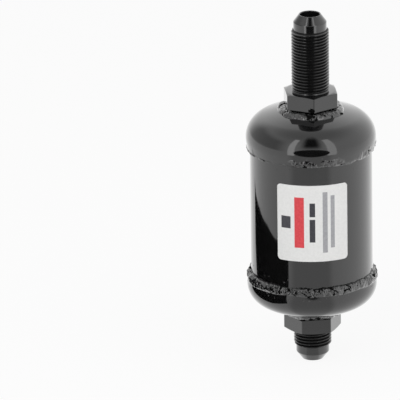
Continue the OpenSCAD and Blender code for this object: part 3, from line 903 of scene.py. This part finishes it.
make_seam("lower_seam", "inlet_seam_weld", INLET_SKIRT_END, 1, lower_seam_leg, lower_seam_run, LOWER_SEAM)
make_seam("upper_seam", "outlet_seam_weld", OUTLET_SKIRT_END, -1, upper_seam_leg, upper_seam_run, UPPER_SEAM)
make_fitting_weld("upper_fitting_weld", "outlet_fitting_weld", OUTLET_CAP, OUTLET_HEX_TURN,
                  UPPER_FITTING_BEAD, (crater, CRATER_DEPTH, CRATER_SIZE))
make_fitting_weld("lower_fitting_weld", "inlet_fitting_weld", INLET_CAP, INLET_HEX_TURN, LOWER_FITTING_BEAD)
make_spatter()
make_label()
make_bypass_spring()

# Finish of the CAD pieces that show as they are
FINISHES = {
    "pleated_media": MEDIUM, "centre_tube": ZINC, "open_end_disc": ZINC, "closed_end_disc": ZINC,
    "outlet_potting": ADHESIVE, "inlet_potting": ADHESIVE, "spigot_grommet": RUBBER,
    "preload_spring": WIRE, "spring_plate": ZINC, "bypass_seat": BRASS, "bypass_cage": ZINC,
    "bypass_poppet": TURNED,
}
for node, material in FINISHES.items():
    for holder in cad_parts[node].material_slots:
        holder.material = material


# Stage: floor, cards that show only in the gloss, lamps and world

FLOOR_Z = INLET_TIP - 0.2
STAGE_SIZE = 6000.0


def stage_sheet(name, corners, material):
    mesh = bpy.data.meshes.new(name)
    mesh.from_pydata([Vector(p) * MM for p in corners], [], [tuple(range(len(corners)))])
    mesh.materials.append(material)
    obj = bpy.data.objects.new(name, mesh)
    bpy.context.scene.collection.objects.link(obj)
    return obj


def glow(name, strength):
    material = bpy.data.materials.new(name)
    material.use_nodes = True
    tree = material.node_tree
    tree.nodes.clear()
    light = tree.nodes.new("ShaderNodeEmission")
    light.inputs["Color"].default_value = (1, 1, 1, 1)
    light.inputs["Strength"].default_value = strength
    tree.links.new(light.outputs[0], tree.nodes.new("ShaderNodeOutputMaterial").inputs["Surface"])
    return material


def card(name, corners, strength):
    """A sheet that only reflections see."""
    obj = stage_sheet(name, corners, glow(name, strength))
    obj.visible_camera = False
    obj.visible_diffuse = False
    obj.visible_shadow = False
    obj.visible_transmission = False
    return obj


class Levels:
    """Node arithmetic for the light that the gloss sees from each side."""

    def __init__(self, tree):
        self.tree = tree

    def math(self, operation, a, b=0.0):
        made = self.tree.nodes.new("ShaderNodeMath")
        made.operation = operation
        for socket, value in zip(made.inputs, (a, b)):
            if isinstance(value, bpy.types.NodeSocket):
                self.tree.links.new(value, socket)
            else:
                socket.default_value = value
        return made.outputs[0]

    def ramp(self, value, start, end, low, high):
        """From low at start to high at end, eased."""
        made = self.tree.nodes.new("ShaderNodeMapRange")
        made.interpolation_type = "SMOOTHSTEP"
        self.tree.links.new(value, made.inputs["Value"])
        if start > end:
            start, end, low, high = end, start, high, low
        for name, number in (("From Min", start), ("From Max", end), ("To Min", low), ("To Max", high)):
            made.inputs[name].default_value = number
        return made.outputs["Result"]

    def band(self, value, low, high, soft):
        """1 between low and high, 0 beyond, with edges that take soft on each side."""
        rise = self.ramp(value, low - soft, low + soft, 0, 1)
        return self.math("MULTIPLY", rise, self.ramp(value, high - soft, high + soft, 1, 0))

    def compass(self, x, y):
        """Degrees round the axis from the camera's side, growing to the right."""
        turn = self.math("ARCTAN2", x, self.math("MULTIPLY", y, -1.0))
        return self.math("MULTIPLY", turn, 180 / math.pi)


def floor_material():
    """A pale floor: lit and shadowed for the camera and for bounced light, and a soft tone in the gloss."""
    material = bpy.data.materials.new("pale_floor")
    material.use_nodes = True
    tree = material.node_tree
    tree.nodes.clear()
    levels = Levels(tree)
    matt = tree.nodes.new("ShaderNodeBsdfDiffuse")
    matt.inputs["Color"].default_value = (0.9, 0.9, 0.9, 1)
    place = tree.nodes.new("ShaderNodeTexCoord").outputs["Object"]
    parts = tree.nodes.new("ShaderNodeSeparateXYZ")
    tree.links.new(place, parts.inputs[0])
    turn = levels.compass(parts.outputs["X"], parts.outputs["Y"])
    front = levels.band(turn, -FRONT_TURN, FRONT_TURN - 4, 7)
    right = levels.ramp(turn, 30, 70, 0.0, 0.08)
    dimmed = levels.math("SUBTRACT", 1.0, levels.math("MULTIPLY", front, 1 - FRONT_LEVEL))
    level = levels.math("ADD", dimmed, right)
    glossy = tree.nodes.new("ShaderNodeEmission")
    tree.links.new(level, glossy.inputs["Strength"])
    seen = tree.nodes.new("ShaderNodeEmission")
    seen.inputs["Strength"].default_value = 1.0
    rays = tree.nodes.new("ShaderNodeLightPath")

    def blended(factor, first, second):
        both = tree.nodes.new("ShaderNodeMixShader")
        tree.links.new(factor, both.inputs[0])
        tree.links.new(first, both.inputs[1])
        tree.links.new(second, both.inputs[2])
        return both.outputs[0]

    share = levels.math("MULTIPLY", rays.outputs["Is Camera Ray"], CAMERA_SHARE)
    lit = blended(share, matt.outputs[0], seen.outputs[0])
    whole = blended(rays.outputs["Is Glossy Ray"], lit, glossy.outputs[0])
    tree.links.new(whole, tree.nodes.new("ShaderNodeOutputMaterial").inputs["Surface"])
    return material


HALF_STAGE = STAGE_SIZE / 2
FLOOR_CORNERS = ((-1, -1), (1, -1), (1, 1), (-1, 1))
stage_sheet("floor", [(x * HALF_STAGE, y * HALF_STAGE, FLOOR_Z) for x, y in FLOOR_CORNERS], floor_material())

# A black card stands along the left side, its near foot cut away, and a dark disc stands below the camera
FLAG_NEAR, FLAG_FAR = Vector((-46, -61, FLOOR_Z)), Vector((-160, 118, FLOOR_Z))
FLAG_FOOT_SHARE, FLAG_FOOT_RISE = 0.2, 16
FLAG_TOPS = [(0.0, 54.5), (0.14, 57), (0.24, 61), (0.44, 58.5), (0.62, 51), (0.83, 41), (1.0, 36)]
card("left_flag", [FLAG_NEAR.lerp(FLAG_FAR, share) + Vector((0, 0, rise)) for share, rise in FLAG_TOPS]
     + [FLAG_FAR, FLAG_NEAR.lerp(FLAG_FAR, FLAG_FOOT_SHARE), FLAG_NEAR + Vector((0, 0, FLAG_FOOT_RISE))], 0.0)
DISC_Y = -372
DISC_HALF_W, DISC_HALF_H = 218, 108
DISC_Z = FLOOR_Z + DISC_HALF_H
card("front_card", [(DISC_HALF_W * math.cos(a), DISC_Y, DISC_Z + DISC_HALF_H * math.sin(a))
                    for a in even_angles(48)], 0.01)

STRIP_D, STRIP_TOP = 500, 760


def strip(name, low, high, strength):
    """An upright strip of light from low to high degrees round the axis."""
    corners = [(low, FLOOR_Z), (high, FLOOR_Z), (high, STRIP_TOP), (low, STRIP_TOP)]
    card(name, [(STRIP_D * math.sin(math.radians(a)), -STRIP_D * math.cos(math.radians(a)), z)
                for a, z in corners], strength)


strip("left_strip", -41, -29, 2.2)
strip("right_strip", 27, 43, 1.9)

# World: in the gloss it is paler low down, dimmer low at the left, and dark in a slot above the camera
SKY_LOW, SKY_HIGH = 28, 75
SKY_TOP_LEVEL = 0.62
SLOT_TURN, SLOT_LOW, SLOT_HIGH = 17, 21, 72
LEFT_DIMMING = 0.5
MATT_LEVEL = 0.55

world = bpy.data.worlds.new("studio")
bpy.context.scene.world = world
world.use_nodes = True
sky = world.node_tree
levels = Levels(sky)
back = sky.nodes["Background"]
back.inputs["Color"].default_value = (1, 1, 1, 1)
parts = sky.nodes.new("ShaderNodeSeparateXYZ")
sky.links.new(sky.nodes.new("ShaderNodeTexCoord").outputs["Generated"], parts.inputs[0])
turn = levels.compass(parts.outputs["X"], parts.outputs["Y"])
height = levels.math("MULTIPLY", levels.math("ARCSINE", parts.outputs["Z"]), 180 / math.pi)
slot_across = levels.band(turn, -SLOT_TURN, SLOT_TURN, 9)
slot = levels.math("MULTIPLY", slot_across, levels.band(height, SLOT_LOW, SLOT_HIGH, 14))
low_left = levels.math("MULTIPLY", levels.band(turn, -140, -55, 15), levels.band(height, -5, 40, 10))
left_level = levels.math("SUBTRACT", 1.0, levels.math("MULTIPLY", low_left, LEFT_DIMMING))
plain = levels.math("MULTIPLY", levels.ramp(height, SKY_LOW, SKY_HIGH, 1.0, SKY_TOP_LEVEL), left_level)
gloss_level = levels.math("MULTIPLY", plain, levels.math("SUBTRACT", 1.0, slot))
rays = sky.nodes.new("ShaderNodeLightPath")
plain_rays = levels.math("MAXIMUM", rays.outputs["Is Camera Ray"], rays.outputs["Is Transmission Ray"])
matt_level = levels.ramp(plain_rays, 0, 1, MATT_LEVEL, 1.0)
shown = sky.nodes.new("ShaderNodeMix")
sky.links.new(rays.outputs["Is Glossy Ray"], shown.inputs["Factor"])
sky.links.new(matt_level, shown.inputs["A"])
sky.links.new(gloss_level, shown.inputs["B"])
sky.links.new(shown.outputs["Result"], back.inputs["Strength"])


def softbox(name, place, size, power):
    """A square lamp aimed at the middle of the filter, hidden from the gloss."""
    lamp = bpy.data.lights.new(name, "AREA")
    lamp.size = size * MM
    lamp.energy = power
    obj = bpy.data.objects.new(name, lamp)
    obj.location = Vector(place) * MM
    middle = (cad_low + cad_high) / 2
    obj.rotation_mode = "QUATERNION"
    obj.rotation_quaternion = (middle - obj.location).to_track_quat("-Z", "Y")
    obj.visible_glossy = False
    bpy.context.scene.collection.objects.link(obj)


softbox("key", (-500, -900, 900), 900, 5.5)
softbox("fill", (700, -600, 700), 900, 3.0)

# Camera
camera = bpy.data.cameras.new("camera")
camera.sensor_width = 36
camera.lens = camera.sensor_width * CAMERA_D / FRAME_W
camera.clip_start = 0.1
camera.clip_end = 20
eye = bpy.data.objects.new("camera", camera)
bpy.context.scene.collection.objects.link(eye)
bpy.context.scene.camera = eye
elevation = math.radians(CAMERA_ELEVATION)
towards_eye = Vector((0, -math.cos(elevation), math.sin(elevation)))
level = (-towards_eye).to_track_quat("-Z", "Y")
eye.rotation_mode = "QUATERNION"
eye.rotation_quaternion = level @ Matrix.Rotation(math.radians(-CAMERA_ROLL), 3, "Z").to_quaternion()
px = FRAME_W / PIXELS
right, up = eye.rotation_quaternion @ Vector((1, 0, 0)), eye.rotation_quaternion @ Vector((0, 1, 0))
eye.location = (towards_eye * CAMERA_D - right * (SHOULDER_X_PX - PIXELS / 2) * px
                - up * (PIXELS / 2 - SHOULDER_Y_PX) * px) * MM

scene = bpy.context.scene
scene.view_settings.view_transform = "Standard"
